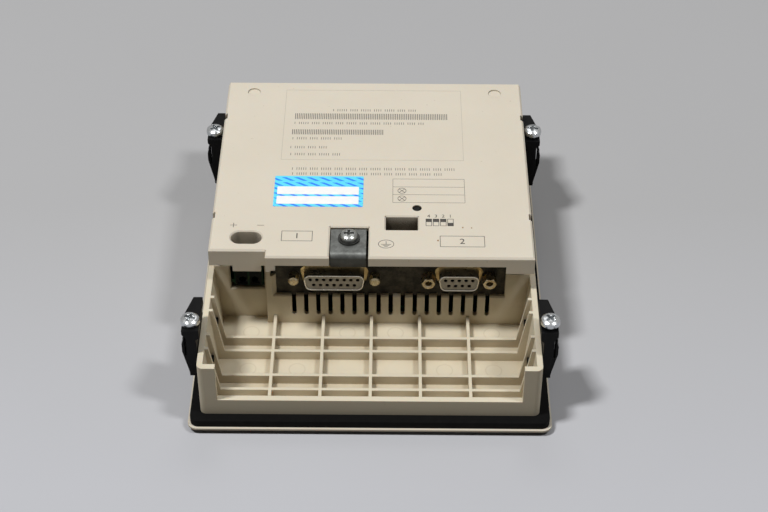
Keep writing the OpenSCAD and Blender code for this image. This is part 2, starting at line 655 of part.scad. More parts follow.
module rear_cover() color(cream) difference() {
  union() {
    difference() {
      translate([0, 0, box_z]) linear_extrude(cover_z - box_z) cover_outline();
      cover_cavity();
    }
    // chutes to the terminal screws and to the switches
    translate([slot_cx, slot_cy, box_z + clear]) linear_extrude(cover_z - cover_t - box_z)
      obround(slot_l + 2.4, slot_w + 2.4);
    translate([dip_cx, dip_cy, 0])
      slab(dipwin_w + 2.4, dipwin_l + 2.4, 1, board_z + 7, cover_z - cover_t + e);
    // tab in front of the power terminals
    bx(pow_x0 + 2.1, pow_x1 - 0.4, cover_n2, cover_n2 + 1.6, guard_z, box_z + 2);
    // catches inside the box wall
    for (sx = [0, 1], y = catch_y) mirror([sx, 0, 0]) {
      bx(box_in - clear - 1.3, box_in - clear, y - 5, y + 5, 34, cover_z - cover_t + e);
      bx(box_in - clear - 1.3, kx - cover_t + e, y - 5, y + 5, box_z, cover_z - cover_t + e);
    }
  }
  // edge break of the top face
  bar_x(-kx - 1, notch_x, cover_n2, cover_z, cover_c);
  bar_x(notch_x, kx + 1, cover_n, cover_z, cover_c);
  bar_x(-kx - 1, kx + 1, cover_far, cover_z, cover_c);
  for (sx = [-1, 1]) bar_y(sx * kx, cover_n - 1, cover_far + 1, cover_z, cover_c);
  bar_y(notch_x, cover_n - 1, cover_n2, cover_z, 0.5);
  // raised lower edge over the connectors
  bx(open_x0 + 0.7, open_x1 - 0.7, cover_n - 1, cover_n + cover_t + e, box_z - 1, cover_low);
  bx(notch_x + 1.9, open_x0 + 0.7 + e, cover_n - 1, cover_n + cover_t + e, box_z - 1, box_z + 0.9);
  // notch for the earthing tab
  bx(tab_x0 - 0.3, tab_x0 + tab_w + 0.9, cover_n - 1, tab_y1 + 0.5, box_z - 1, cover_z + 1);
  bar_y(tab_x0 - 0.3, cover_n - 1, tab_y1 + 0.5, cover_z, hole_c);
  bar_y(tab_x0 + tab_w + 0.9, cover_n - 1, tab_y1 + 0.5, cover_z, hole_c);
  bar_x(tab_x0 - 0.3, tab_x0 + tab_w + 0.9, tab_y1 + 0.5, cover_z, hole_c);
  // power slot with its bevel
  translate([slot_cx, slot_cy, 0]) {
    translate([0, 0, box_z - 1]) linear_extrude(20) obround(slot_l, slot_w);
    for (sx = [-1, 1]) translate([sx * (slot_l - slot_w) / 2, 0, cover_z - hole_c])
      cylinder(r1 = slot_w / 2, r2 = slot_w / 2 + hole_c + 0.3, h = hole_c + 0.3);
    for (sy = [-1, 1]) bar_x(-(slot_l - slot_w) / 2, (slot_l - slot_w) / 2, sy * slot_w / 2, cover_z,
      hole_c - 0.03);
  }
  // switch window with its bevel
  bx(win_x0, win_x0 + dipwin_w, dip_cy - dipwin_l / 2, dip_cy + dipwin_l / 2, board_z, cover_z + 1);
  for (s = [-1, 1]) {
    bar_x(win_x0, win_x0 + dipwin_w, dip_cy + s * dipwin_l / 2, cover_z, hole_c);
    bar_y(dip_cx + s * dipwin_w / 2, dip_cy - dipwin_l / 2, dip_cy + dipwin_l / 2, cover_z, hole_c);
  }
  // light hole, dimples and the notches over the catches
  translate([led_x, led_y, box_z]) cylinder(r = led_hole_r, h = 20);
  for (sx = [-1, 1]) translate([sx * dimple_x, dimple_y, cover_z - 0.6]) cylinder(r = dimple_r, h = 2);
  for (sx = [-1, 1], y = catch_y) translate([sx * kx, y, cover_z]) cube([2.4, 3.7, 8], center = true);
}

// ---------- connector plate, earth ----------

// Outline of a D-shaped connector, wide side up.
module dee(w, h, r) {
  s = tan(10) * (h - 2 * r);
  x = w / 2 - r;
  z = h / 2 - r;
  rpoly([[-x + s, -z], [x - s, -z], [x, z], [-x, z]], r, 0.0005);
}

module at_dsub(x) { translate([x, 0, dsub_z]) children(); }

module connector_plate() color([0.22, 0.22, 0.22]) difference() {
  union() {
    bx(bay_x + wall_t + clear, open_x1 + 2.8, plate_f, plate_b, sill_z - 1, box_z - clear);
    // bracket: up from the plate, forward, up again and back as the tab
    bx(tab_x0, tab_x0 + tab_w, plate_f, plate_b, box_z - 1, tab_low);
    bx(tab_x0, tab_x0 + tab_w, tab_y0, plate_b, tab_low - plate_t, tab_low);
    bx(tab_x0, tab_x0 + tab_w, tab_y0, tab_y0 + plate_t, tab_low - plate_t, tab_z - tab_r + e);
    bx(tab_x0, tab_x0 + tab_w, tab_y0 + tab_r - e, tab_y1, tab_z - plate_t, tab_z);
    translate([tab_x0, tab_y0 + tab_r, tab_z - tab_r]) rotate([0, 90, 0]) intersection() {
      difference() {
        cylinder(r = tab_r, h = tab_w);
        translate([0, 0, -1]) cylinder(r = tab_r - plate_t, h = tab_w + 2);
      }
      translate([-tab_r - 1, -tab_r - 1, -1]) cube([tab_r + 1 + e, tab_r + 1 + e, tab_w + 2]);
    }
  }
  at_dsub(d15_x) along_y(plate_f - 1, plate_b + 1) dee(d15_w + 3.4, dsub_h + 3, 3.4);
  at_dsub(d9_x) along_y(plate_f - 1, plate_b + 1) dee(d9_w + 3.4, dsub_h + 3, 3.4);
  for (p = [[d15_x, d15_span], [d9_x, d9_span]], s = [-1, 1])
    translate([p[0] + s * p[1] / 2, plate_f - 1, dsub_z]) rotate([-90, 0, 0])
      cylinder(r = through_r, h = plate_t + 2);
  translate([earth_x, earth_y, tab_z - 3]) cylinder(r = eshank_r + 0.15, h = 6);
}

module earth_washer() color(zinc) translate([earth_x, earth_y, tab_z]) difference() {
  cylinder(r = ewash_r, h = washer_t);
  translate([0, 0, -1]) cylinder(r = eshank_r + 0.15, h = 3);
}

module earth_screw() color(zinc) translate([earth_x, earth_y, tab_z + washer_t + run_gap]) {
  pan_head(ehead_r, 2.4);
  translate([0, 0, -eshank_l]) cylinder(r = eshank_r, h = eshank_l + e);
}

module earth_nut() color(zinc) translate([earth_x, earth_y, tab_z - plate_t - nut_t]) difference() {
  cylinder(r = 2 * eshank_r, h = nut_t, $fn = 6);
  translate([0, 0, -1]) cylinder(r = eshank_r + run_gap, h = 5);
}

// ---------- connectors ----------

module dshell(x, w, fw) color([0.70, 0.66, 0.56]) at_dsub(x) difference() {
  union() {
    along_y(plate_b, plate_b + flange_t) rr(fw, 12.5, 1.5);
    along_y(shell_f, plate_b + e) dee(w, dsub_h, 2.6);
  }
  along_y(shell_f - 1, plate_b + flange_t + 1) dee(w - 1, dsub_h - 1, 2.1);
}

module dbody(x, w, top) color([0.55, 0.53, 0.49]) at_dsub(x) difference() {
  union() {
    along_y(shell_f + 0.25, plate_b + flange_t + e) dee(w - 1, dsub_h - 1, 2.1);
    along_y(plate_b + flange_t, plate_b + flange_t + 9)
      square([w + 6, dbody_h], center = true);
  }
  // upper row of contacts and lower row with one contact fewer
  for (row = [0, 1], i = [0:top - 1 - row])
    translate([(i - (top - 1 - row) / 2) * 2.77, shell_f, row == 0 ? 1.42 : -1.42])
      rotate([-90, 0, 0]) cylinder(r = pin_r, h = shell_out, $fn = 20);
}

module pair(x, span) {
  for (s = [-1, 1]) translate([x + s * span / 2, 0, dsub_z]) rotate([90, 0, 0]) children();
}

module lock_posts() color(zinc) pair(d15_x, d15_span) {
  translate([0, 0, -plate_b]) cylinder(r = 1.4, h = plate_t + 0.1);
  translate([0, 0, -plate_f]) cylinder(r = post_r, h = post_l);
  translate([0, 0, -plate_f + post_l - e]) cylinder(r1 = post_r, r2 = post_r - 0.6, h = 0.6);
}

module jack_screws() color(zinc) pair(d9_x, d9_span) {
  translate([0, 0, -plate_b]) cylinder(r = 1.4, h = plate_t + 0.1);
  translate([0, 0, -plate_f]) difference() {
    intersection() {
      cylinder(r = jack_af / sqrt(3), h = jack_l, $fn = 6);
      cylinder(r1 = jack_af / 2 + jack_l - 0.5, r2 = jack_af / 2 - 0.1, h = jack_l + 0.1);
    }
    translate([0, 0, 0.4]) cylinder(r = jack_hole_r, h = jack_l);
    translate([0, 0, jack_l - 0.35]) cylinder(r1 = jack_hole_r, r2 = jack_hole_r + 0.5, h = 0.5);
  }
}

// ---------- power terminals ----------

module at_terminal(i) { translate([slot_cx + (i - 1.5) * term_pitch, 0, board_z]) children(); }

module terminal_block() color([0.07, 0.13, 0.09]) difference() {
  w = term_pitch + 0.8;
  bx(slot_cx - w, slot_cx + w, term_f, term_f + term_d, board_z, term_z1);
  for (i = [1, 2]) at_terminal(i) {
    // wire entry in its shallow cell
    bx(-2.1, 2.1, term_f - 1, term_f + cell, wire_z - board_z - 1.9, wire_z - board_z + 2.3);
    translate([0, term_f - 1, wire_z - board_z]) rotate([-90, 0, 0]) cylinder(r = wire_r, h = term_d - 0.4);
    // screw hole
    translate([0, term_y, term_h - 3.6]) cylinder(r = thead_r + run_gap, h = 9);
    translate([0, term_y, term_h - 6]) cylinder(r = tshank_r + run_gap, h = 9);
  }
}

module terminal_screw(i) color(zinc) at_terminal(i) translate([0, term_y, term_h]) difference() {
  union() {
    translate([0, 0, -3.3]) cylinder(r = thead_r, h = 2.2);
    translate([0, 0, -5]) cylinder(r = tshank_r, h = 2);
  }
  translate([0, 0, -1]) cube([5, 0.6, 1.8], center = true);
}

// ---------- switches, light, boards ----------

module dip_at(i) { translate([dip_cx + (i - 2.5) * dip_pitch, dip_cy, board_z]) children(); }

module dip_body() color([0.62, 0.10, 0.09]) difference() {
  w = 2 * dip_pitch + 0.9;
  bx(dip_cx - w, dip_cx + w, dip_cy - 3.2, dip_cy + 3.2, board_z, board_z + 4.2);
  for (i = [1:4]) dip_at(i) bx(-0.9, 0.9, -dip_travel / 2 - 1.3, dip_travel / 2 + 1.3, 2.4, 6);
}

module dip_slider(i) color([0.92, 0.92, 0.90]) dip_at(i)
  translate([0, i == 4 ? -dip_travel / 2 : dip_travel / 2, 0]) {
  bx(-0.6, 0.6, -0.9, 0.9, 2.7, 4.6);
  bx(-0.6, 0.6, -0.5, 0.5, 4.6 - e, 5.2);
}

module status_led() color([0.55, 0.85, 0.55]) translate([led_x, led_y, board_z]) {
  cylinder(r = 2.2, h = 4);
  cylinder(r = led_hole_r - 0.45, h = cover_z - 7.2 - board_z);
}

module main_board() color(green) difference() {
  w = box_in - 3 * clear;
  bx(-w, w, bay_y + wall_t + 2 * clear, far_y - 2 * side_t - 1, board_z - pcb_t, board_z);
  for (sx = [-1, 1], y = pad_y) translate([sx * pad_x, y, board_z - 5]) cylinder(r = through_r, h = 10);
}

module board_screw(z) translate([0, 0, z]) {
  cylinder(r = 2.6, h = 1.8);
  translate([0, 0, -4]) cylinder(r = pilot_r - run_gap, h = 4.1);
}

module board_screws() color(zinc) {
  for (sx = [-1, 1], y = pad_y) translate([sx * pad_x, y, 0]) board_screw(board_z);
  for (sx = [-1, 1], y = boss_y) translate([sx * boss_x, y, 0]) board_screw(kpcb_z + pcb_t);
}

// ---------- clamps ----------

// Places a clamp drawn with +X pointing away from the casing.
module clamp_at(i) {
  p = clamp_pos[i - 1];
  translate([p[0] * clamp_x, p[1], 0]) mirror([p[0] < 0 ? 1 : 0, 0, 0]) children();
}

module clamp_bore() { cylinder(r = cshank_r + run_gap, h = clamp_top + 5); }

module clamp_body(i) color(black) clamp_at(i) difference() {
  union() {
    along_y(-clamp_n, clamp_l) polygon([[clamp_u, clamp_mid], [1.5, clamp_mid], [3.1, clamp_mid + 2],
      [3.1, clamp_top], [clamp_u - clamp_over, clamp_top], [clamp_u - clamp_over, clamp_mid + 0.5],
      [clamp_u, clamp_mid - 1]]);
    along_y(foot_y[1] + clear, clamp_l) polygon([[clamp_u, hook_z - 1.6], [0, hook_z - 1.6], [0.4, 24],
      [1.7, 28], [1.7, clamp_mid + e], [clamp_u, clamp_mid + e]]);
    along_y(-clamp_n, foot_y[0] - clear)
      polygon([[clamp_u, 24], [0.2, 24], [1.2, 26], [1.2, clamp_mid + e], [clamp_u, clamp_mid + e]]);
    // arm with the far hook
    along_y(clamp_l - e, hook_y[1] + hook_t / 2)
      polygon([[clamp_u, hook_z - 1.6], [-0.3, hook_z - 1.6], [-0.3, hook_z1 + 2], [clamp_u, hook_z1 + 3.5]]);
    for (h = hook_y) bx(hook_u, clamp_u + e, h - hook_t / 2, h + hook_t / 2, hook_z, hook_z1);
  }
  // the outer side narrows towards the far end
  linear_extrude(clamp_top + 5) polygon([[3.2, 3], [-0.06, clamp_l + 0.1], [6, clamp_l + 0.1], [6, 3]]);
  clamp_bore();
}

module clamp_foot(i) color(black) clamp_at(i) difference() {
  slit_u = cshank_r + run_gap + foot_wall;
  along_y(foot_y[0], foot_y[1]) polygon([[clamp_u, clamp_mid - 0.4], [slit_u, clamp_mid - 0.4], [slit_u, slit_z],
    [slit_u + slit_w, slit_z], [slit_u + slit_w, lip_top - 0.4], [slit_u + slit_w + 0.4, lip_top],
    [foot_out, foot_wide_z + 2], [foot_out, foot_wide_z - 2],
    [1.6, foot_z + 2.2], [1.5, foot_z], [-0.6, foot_z], [clamp_u, foot_z + 5.4]]);
  translate([0, 0, foot_z + 5.8]) clamp_bore();
  bx(slit_u + slit_w / 2, foot_out + 1, -0.7, 0.7, foot_wide_z + 1.4, lip_top + 4);
}

module clamp_screw(i) color(zinc) clamp_at(i) translate([0, 0, clamp_top + 0.3 + screw_z[i - 1]]) {
  rotate([0, 0, 20 * i]) pan_head(chead_r, chead_h);
  translate([0, 0, -cshank_l]) cylinder(r = cshank_r, h = cshank_l + e);
}

// ---------- nodes ----------

front_frame();
keypad_foil();
touch_glass();
panel_gasket();
casing_tray();
rear_cover();
connector_plate();
dshell(d15_x, d15_w, d15_span + flange_w);  // dsub15_shell
dbody(d15_x, d15_w, 8);  // dsub15_body
dshell(d9_x, d9_w, d9_span + flange_w);  // dsub9_shell
dbody(d9_x, d9_w, 5);  // dsub9_body
lock_posts();
jack_screws();
earth_screw();
earth_washer();
earth_nut();
terminal_block();
terminal_screw(1);  // terminal_screw_1
terminal_screw(2);  // terminal_screw_2
dip_body();
dip_slider(1);  // dip_slider_1
dip_slider(2);  // dip_slider_2
dip_slider(3);  // dip_slider_3
dip_slider(4);  // dip_slider_4
status_led();
main_board();
keypad_board();
lcd_module();
board_link();
key_domes();
board_screws();
clamp_body(1);  // clamp_body_1
clamp_body(2);  // clamp_body_2
clamp_body(3);  // clamp_body_3
clamp_body(4);  // clamp_body_4
clamp_foot(1);  // clamp_foot_1
clamp_foot(2);  // clamp_foot_2
clamp_foot(3);  // clamp_foot_3
clamp_foot(4);  // clamp_foot_4
clamp_screw(1);  // clamp_screw_1
clamp_screw(2);  // clamp_screw_2
clamp_screw(3);  // clamp_screw_3
clamp_screw(4);  // clamp_screw_4
key(0, 0);  // key_11
key(1, 0);  // key_12
key(2, 0);  // key_13
key(3, 0);  // key_14
key(0, 1);  // key_21
key(1, 1);  // key_22
key(2, 1);  // key_23
key(3, 1);  // key_24
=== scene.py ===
import math

import bmesh
import bpy
from mathutils import Matrix, Vector


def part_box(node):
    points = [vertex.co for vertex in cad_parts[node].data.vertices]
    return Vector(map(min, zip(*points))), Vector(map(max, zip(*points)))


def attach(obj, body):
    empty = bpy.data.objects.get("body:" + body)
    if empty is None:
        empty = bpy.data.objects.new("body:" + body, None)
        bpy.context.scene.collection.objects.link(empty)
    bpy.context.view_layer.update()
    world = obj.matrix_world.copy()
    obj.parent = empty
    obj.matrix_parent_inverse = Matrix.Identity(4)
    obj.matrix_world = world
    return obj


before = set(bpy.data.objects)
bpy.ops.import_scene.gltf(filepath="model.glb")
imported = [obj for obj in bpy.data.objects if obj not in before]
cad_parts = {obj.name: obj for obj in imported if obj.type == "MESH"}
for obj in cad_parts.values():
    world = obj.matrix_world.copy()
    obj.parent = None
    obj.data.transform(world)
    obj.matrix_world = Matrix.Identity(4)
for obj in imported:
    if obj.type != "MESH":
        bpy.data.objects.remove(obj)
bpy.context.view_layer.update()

MM = 0.001  # the scene is in metres; bare places and sizes below are in millimetres


# ---------- node trees ----------

class Graph:
    """The node tree of a material or world, built by short calls.
    A value in inputs is a number, a colour or a socket."""

    def __init__(self, owner):
        self.owner = owner
        owner.use_nodes = True
        self.tree = owner.node_tree
        self.tree.nodes.clear()
        self.object_place = None

    @property
    def place(self):
        """The shaded point in the object's own coordinates, in metres."""
        if self.object_place is None:
            self.object_place = self.add("TexCoord").outputs["Object"]
        return self.object_place

    def add(self, kind, inputs=None, **settings):
        node = self.tree.nodes.new("ShaderNode" + kind)
        for key, value in settings.items():
            setattr(node, key, value)
        for key, value in (inputs or {}).items():
            self.feed(node.inputs[key], value)
        return node

    def feed(self, socket, value):
        if isinstance(value, bpy.types.NodeSocket):
            self.tree.links.new(value, socket)
        else:
            socket.default_value = value

    def noise(self, scale, detail=3.0, rough=0.55, place=None):
        return self.add("TexNoise", {"Vector": place or self.place, "Scale": scale, "Detail": detail,
                                     "Roughness": rough}).outputs["Fac"]

    def stretched(self, x, y, z):
        return self.add("Mapping", {"Vector": self.place, "Scale": (x, y, z)}).outputs[0]

    def ramp(self, fac, low, high, to_low=0.0, to_high=1.0):
        return self.add("MapRange", {"Value": fac, "From Min": low, "From Max": high,
                                     "To Min": to_low, "To Max": to_high}).outputs[0]

    def math(self, operation, a, b=0.0):
        return self.add("Math", {0: a, 1: b}, operation=operation).outputs[0]

    def mix(self, fac, a, b):
        node = self.add("Mix", data_type="RGBA", blend_type="MIX")
        for socket, value in ((node.inputs[0], fac), (node.inputs[6], a), (node.inputs[7], b)):
            self.feed(socket, value)
        return node.outputs[2]

    def patchy(self, scale, detail, a, b):
        """Two tones in soft patches."""
        return self.mix(self.ramp(self.noise(scale, detail), 0.35, 0.7), a, b)

    def uneven(self, scale, low, high, detail=3.0):
        """A roughness that wanders between low and high."""
        return self.ramp(self.noise(scale, detail), 0.3, 0.7, low, high)

    def axis(self, name):
        return self.add("SeparateXYZ", {"Vector": self.place}).outputs[name]

    def bump(self, height, strength, distance, normal=None):
        inputs = {"Height": height, "Strength": strength, "Distance": distance}
        if normal is not None:
            inputs["Normal"] = normal
        return self.add("Bump", inputs).outputs[0]

    def rounded(self, radius):
        return self.add("Bevel", {"Radius": radius}, samples=4).outputs[0]

    def edge(self, radius):
        """Near 1 along sharp edges, where a moulding is rounded; there its edges are painted lighter, as
        wear and as a painted highlight.
        """
        flat = self.add("NewGeometry").outputs["Normal"]
        dot = self.add("VectorMath", {0: self.rounded(radius), 1: flat}, operation="DOT_PRODUCT")
        return self.ramp(dot.outputs["Value"], 0.995, 0.80)

    def open_share(self, distance, samples):
        """1 on open faces, less in corners and holes that distance reaches across."""
        return self.add("AmbientOcclusion", {"Distance": distance}, samples=samples).outputs["AO"]

    def seen(self):
        """1 for rays from the camera, from gloss and through glass, 0 for those that light the object."""
        path = self.add("LightPath").outputs
        second_hand = self.math("MAXIMUM", path["Is Glossy Ray"], path["Is Transmission Ray"])
        return self.math("MAXIMUM", path["Is Camera Ray"], second_hand)

    def surface(self, **inputs):
        named = {key.replace("_", " ").title().replace("Ior", "IOR"): value
                 for key, value in inputs.items()}
        shader = self.add("BsdfPrincipled", named)
        self.tree.links.new(shader.outputs[0], self.add("OutputMaterial").inputs["Surface"])
        return self.owner


def material_graph(name):
    return Graph(bpy.data.materials.new(name))


def rgb(r, g, b):
    """A colour given as on a screen, from 0 to 255."""
    def linear(v):
        v /= 255
        return v / 12.92 if v <= 0.04045 else ((v + 0.055) / 1.055) ** 2.4
    return (linear(r), linear(g), linear(b), 1.0)


def times(colour, red, green, blue):
    """A colour with each channel times its share."""
    return tuple(min(1.0, c * share) for c, share in zip(colour, (red, green, blue))) + (1.0,)


# ---------- materials ----------

def moulded(name, colour, rough=0.55, grain=0.25, grain_scale=2400, wear_and_highlight=0.25, corner_shade=0.35, specks=0.0,
            radius=0.35 * MM, specular=0.5, glow=0.0, marks=None, reach=2.5 * MM, recess=None):
    """Injection-moulded plastic: spark-eroded grain, faint patches, edges painted lighter as wear and as a
    painted highlight, and painted shade with a dusty tone in the corners.
    glow is the share of light that passes through thin walls; marks adds shallow marks to the tone;
    reach is how far the painted shade spreads from a corner; recess is the width of holes whose depths are
    painted dark as shade."""
    g = material_graph(name)
    shade_and_dust_tone = times(colour, 0.55, 0.48, 0.38)
    patches = g.ramp(g.noise(24, 5, 0.6), 0.3, 0.7)
    tone = g.mix(patches, times(colour, 0.955, 0.95, 0.935), colour)
    # painted highlight with wear: the edges are painted lighter
    tone = g.mix(g.math("MULTIPLY", g.edge(radius), wear_and_highlight), tone, times(colour, 1.12, 1.12, 1.12))
    # painted shade: corners that the walls keep light from are painted in a darker, browner tone
    tone = g.mix(g.ramp(g.open_share(reach, 6), 0.70, 0.30, 0.0, corner_shade), tone, shade_and_dust_tone)
    if specks:
        tone = g.mix(g.ramp(g.noise(620, 2, 0.5), 0.735, 0.76, 0.0, specks), tone, shade_and_dust_tone)
    if marks:
        tone = g.mix(g.math("MULTIPLY", marks(g), 0.3), tone, shade_and_dust_tone)
    # painted shade: the depths of holes are painted nearly black
    if recess:
        depths = g.ramp(g.open_share(recess, 8), 0.47, 0.27)
        tone = g.mix(depths, tone, times(shade_and_dust_tone, 0.25, 0.25, 0.25))
    fine_grain = g.noise(grain_scale, 2, 0.6)
    coarse_grain = g.noise(grain_scale * 0.22, 2, 0.5)
    height = g.math("ADD", fine_grain, g.math("MULTIPLY", coarse_grain, 0.6))
    finish = {"base_color": tone, "specular_ior_level": specular,
              "roughness": g.ramp(coarse_grain, 0.3, 0.7, rough - 0.06, rough + 0.06),
              "normal": g.bump(height, grain, 0.05 * MM, g.rounded(radius))}
    if glow:
        finish.update(subsurface_weight=glow, subsurface_radius=(1.0, 0.55, 0.3),
                      subsurface_scale=1.6 * MM)
    return g.surface(**finish)


RING_PITCH, RING_RADIUS, RING_WIDTH = 20 * MM, 3.25 * MM, 0.35 * MM
RING_ROWS = ((-48.3 * MM, 10 * MM), (-70.1 * MM, 30 * MM))  # y of a row, x of its inner pair of rings
TRAY_FLOOR = 1.6 * MM                                       # from the casing's lowest point


def ejector_rings(g):
    """Faint rings that the mould's ejectors leave on the floor of the cable tray."""
    x = g.math("ABSOLUTE", g.axis("X"))
    across = g.math("SUBTRACT", g.math("MODULO", x, RING_PITCH), RING_PITCH / 2)
    rings = None
    for row_y, pair_x in RING_ROWS:
        along = g.math("SUBTRACT", g.axis("Y"), row_y)
        squares = g.math("ADD", g.math("MULTIPLY", across, across), g.math("MULTIPLY", along, along))
        off = g.math("ABSOLUTE", g.math("SUBTRACT", g.math("SQRT", squares), RING_RADIUS))
        near_pair = g.math("LESS_THAN", g.math("ABSOLUTE", g.math("SUBTRACT", x, pair_x)),
                           RING_PITCH / 2)
        chosen = g.math("ADD", g.math("GREATER_THAN", x, 2 * RING_PITCH), near_pair)
        row = g.math("MULTIPLY", g.ramp(off, 0.0, RING_WIDTH, 1.0, 0.0), chosen)
        rings = row if rings is None else g.math("MAXIMUM", rings, row)
    floor_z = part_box("casing_tray")[0].z + TRAY_FLOOR
    return g.math("MULTIPLY", rings, g.math("LESS_THAN", g.axis("Z"), floor_z))


def metal(name, colour, rough=0.28, mottle=0.0, mottle_scale=160, scratches=0.15, dull=None):
    """Plated metal: cloudy plating, fine scratches and softened edges. dull is the tone of the clouds."""
    g = material_graph(name)
    clouds = g.ramp(g.noise(mottle_scale, 5, 0.65), 0.38, 0.66)
    tone = g.mix(g.math("MULTIPLY", clouds, mottle), colour, dull or times(colour, 0.62, 0.62, 0.62))
    lines = g.noise(1.0, 2, 0.5, g.stretched(900, 9000, 900))
    normal = g.bump(g.math("ADD", lines, g.noise(1400, 3)), scratches, 0.02 * MM, g.rounded(0.2 * MM))
    return g.surface(base_color=tone, roughness=g.uneven(700, rough - 0.08, rough + 0.12, 4),
                     metallic=1.0, normal=normal)


def sheet_metal(name, bend_z):
    """Galvanised sheet with dull grey spangle, with painted light and shade: lighter on top of the
    bracket, darker on its leg, and painted dark below bend_z, as painted shade where the plate lies behind
    the ports."""
    g = material_graph(name)
    grains = g.add("TexVoronoi", {"Vector": g.place, "Scale": 520.0, "Randomness": 1.0})
    spangle = g.ramp(g.add("SeparateColor", {"Color": grains.outputs["Color"]}).outputs[0], 0.0, 1.0)
    top_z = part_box("connector_plate")[1].z
    # painted light and shade: the bracket's flat top is painted lighter than its leg
    flat = g.ramp(g.axis("Z"), top_z - 2.4 * MM, top_z - 1.0 * MM)
    tone = g.mix(spangle, g.mix(flat, rgb(68, 70, 68), rgb(110, 112, 109)),
                 g.mix(flat, rgb(82, 84, 82), rgb(130, 132, 129)))
    tone = g.mix(g.ramp(g.noise(210, 6, 0.7), 0.42, 0.66, 0.0, 0.75), tone, rgb(80, 81, 78))
    tone = g.mix(g.ramp(g.noise(60, 3, 0.5), 0.5, 0.75, 0.0, 0.35), tone, rgb(88, 78, 66))
    # painted shade: the plate below bend_z, behind the ports, is painted dark
    shaded_plate_tone = g.mix(g.ramp(g.noise(260, 5, 0.7), 0.4, 0.68), rgb(38, 36, 31), rgb(70, 66, 56))
    tone = g.mix(g.ramp(g.axis("Z"), bend_z - 1.5 * MM, bend_z + 1.5 * MM), shaded_plate_tone, tone)
    relief = g.math("ADD", g.noise(1700, 4, 0.7), spangle)
    return g.surface(base_color=tone, roughness=g.uneven(420, 0.42, 0.62, 4), metallic=0.75,
                     normal=g.bump(relief, 0.22, 0.03 * MM, g.rounded(0.25 * MM)))


def tinned(name, flange_y):
    """Tinned shell of a connector; its flange, beyond flange_y, is yellow-passivated zinc."""
    g = material_graph(name)
    shell = g.mix(g.ramp(g.noise(300, 4), 0.35, 0.7, 0.0, 0.6), rgb(196, 190, 176), rgb(140, 132, 116))
    flange = g.patchy(260, 4, rgb(214, 196, 150), rgb(178, 152, 104))
    behind = g.math("GREATER_THAN", g.axis("Y"), flange_y - 0.15 * MM)
    return g.surface(base_color=g.mix(behind, shell, flange), roughness=g.uneven(500, 0.24, 0.40),
                     metallic=0.85, normal=g.bump(g.noise(1500, 3), 0.12, 0.02 * MM, g.rounded(0.3 * MM)))


def contact_insert(name, face_y):
    """Grey thermoplastic that holds the contacts; behind its face it is painted near black, as painted
    shade in the contact holes.
    """
    g = material_graph(name)
    tone = g.patchy(500, 3, rgb(208, 203, 192), rgb(192, 186, 174))
    # painted shade: everything behind the face is painted near black
    tone = g.mix(g.math("GREATER_THAN", g.axis("Y"), face_y), tone, rgb(16, 15, 14))
    return g.surface(base_color=tone, roughness=g.uneven(700, 0.4, 0.5),
                     normal=g.bump(g.noise(2200, 3), 0.1, 0.03 * MM, g.rounded(0.15 * MM)))


def terminal_cells(name):
    """Nearly black terminal block; the rims of its two cells shine green."""
    g = material_graph(name)
    lo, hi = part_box("terminal_block")
    pitch = (hi.x - lo.x) / 2
    across = g.math("FRACT", g.math("MULTIPLY", g.math("SUBTRACT", g.axis("X"), lo.x), 1 / pitch))
    from_middle = g.math("ABSOLUTE", g.math("SUBTRACT", across, 0.5))
    rim = g.math("MAXIMUM", g.ramp(from_middle, 0.40, 0.47),
                 g.ramp(g.axis("Z"), hi.z - 0.9 * MM, hi.z - 0.4 * MM))
    tone = g.mix(rim, g.patchy(420, 3, rgb(5, 7, 6), rgb(3, 4, 4)), rgb(18, 50, 31))
    return g.surface(base_color=tone, roughness=g.uneven(700, 0.5, 0.6), specular_ior_level=0.12,
                     normal=g.bump(g.noise(2000, 3), 0.12, 0.04 * MM, g.rounded(0.15 * MM)))


def circuit(name):
    """Solder resist over tracks."""
    g = material_graph(name)
    tracks = g.add("TexBrick", {"Vector": g.stretched(1, 1, 0), "Color1": (1, 1, 1, 1),
                                "Color2": (0.6, 0.6, 0.6, 1), "Mortar": (0, 0, 0, 1), "Scale": 260.0,
                                "Mortar Size": 0.03}).outputs["Fac"]
    tone = g.mix(tracks, rgb(22, 78, 48), rgb(40, 110, 66))
    tone = g.mix(g.ramp(g.noise(90, 4), 0.4, 0.65), tone, rgb(18, 66, 42))
    return g.surface(base_color=tone, roughness=g.uneven(300, 0.3, 0.45),
                     normal=g.bump(tracks, 0.2, 0.03 * MM))


def ink(name, colour, rough=0.6):
    """Pad-printed ink, slightly broken where it is rubbed."""
    g = material_graph(name)
    worn = g.ramp(g.noise(2600, 4, 0.7), 0.52, 0.78, 0.0, 0.55)
    return g.surface(base_color=g.mix(worn, colour, rgb(150, 142, 130)),
                     roughness=g.uneven(1800, rough - 0.08, rough + 0.08))


def glass(name):
    """Dark display behind a smooth touch glass, faintly smeared."""
    g = material_graph(name)
    tone = g.mix(g.ramp(g.noise(14, 3), 0.35, 0.65), rgb(58, 66, 60), rgb(66, 74, 68))
    return g.surface(base_color=tone, roughness=g.uneven(40, 0.06, 0.14, 4),
                     normal=g.bump(g.noise(1900, 2), 0.03, 0.01 * MM),
                     coat_weight=0.6, coat_roughness=0.05)


def light_pipe(name):
    """Dark green clear plastic of a lamp that is off."""
    g = material_graph(name)
    tone = g.mix(g.ramp(g.noise(200, 3), 0.35, 0.65), rgb(26, 34, 27), rgb(18, 24, 20))
    return g.surface(base_color=tone, roughness=g.uneven(600, 0.3, 0.4), coat_weight=0.2)


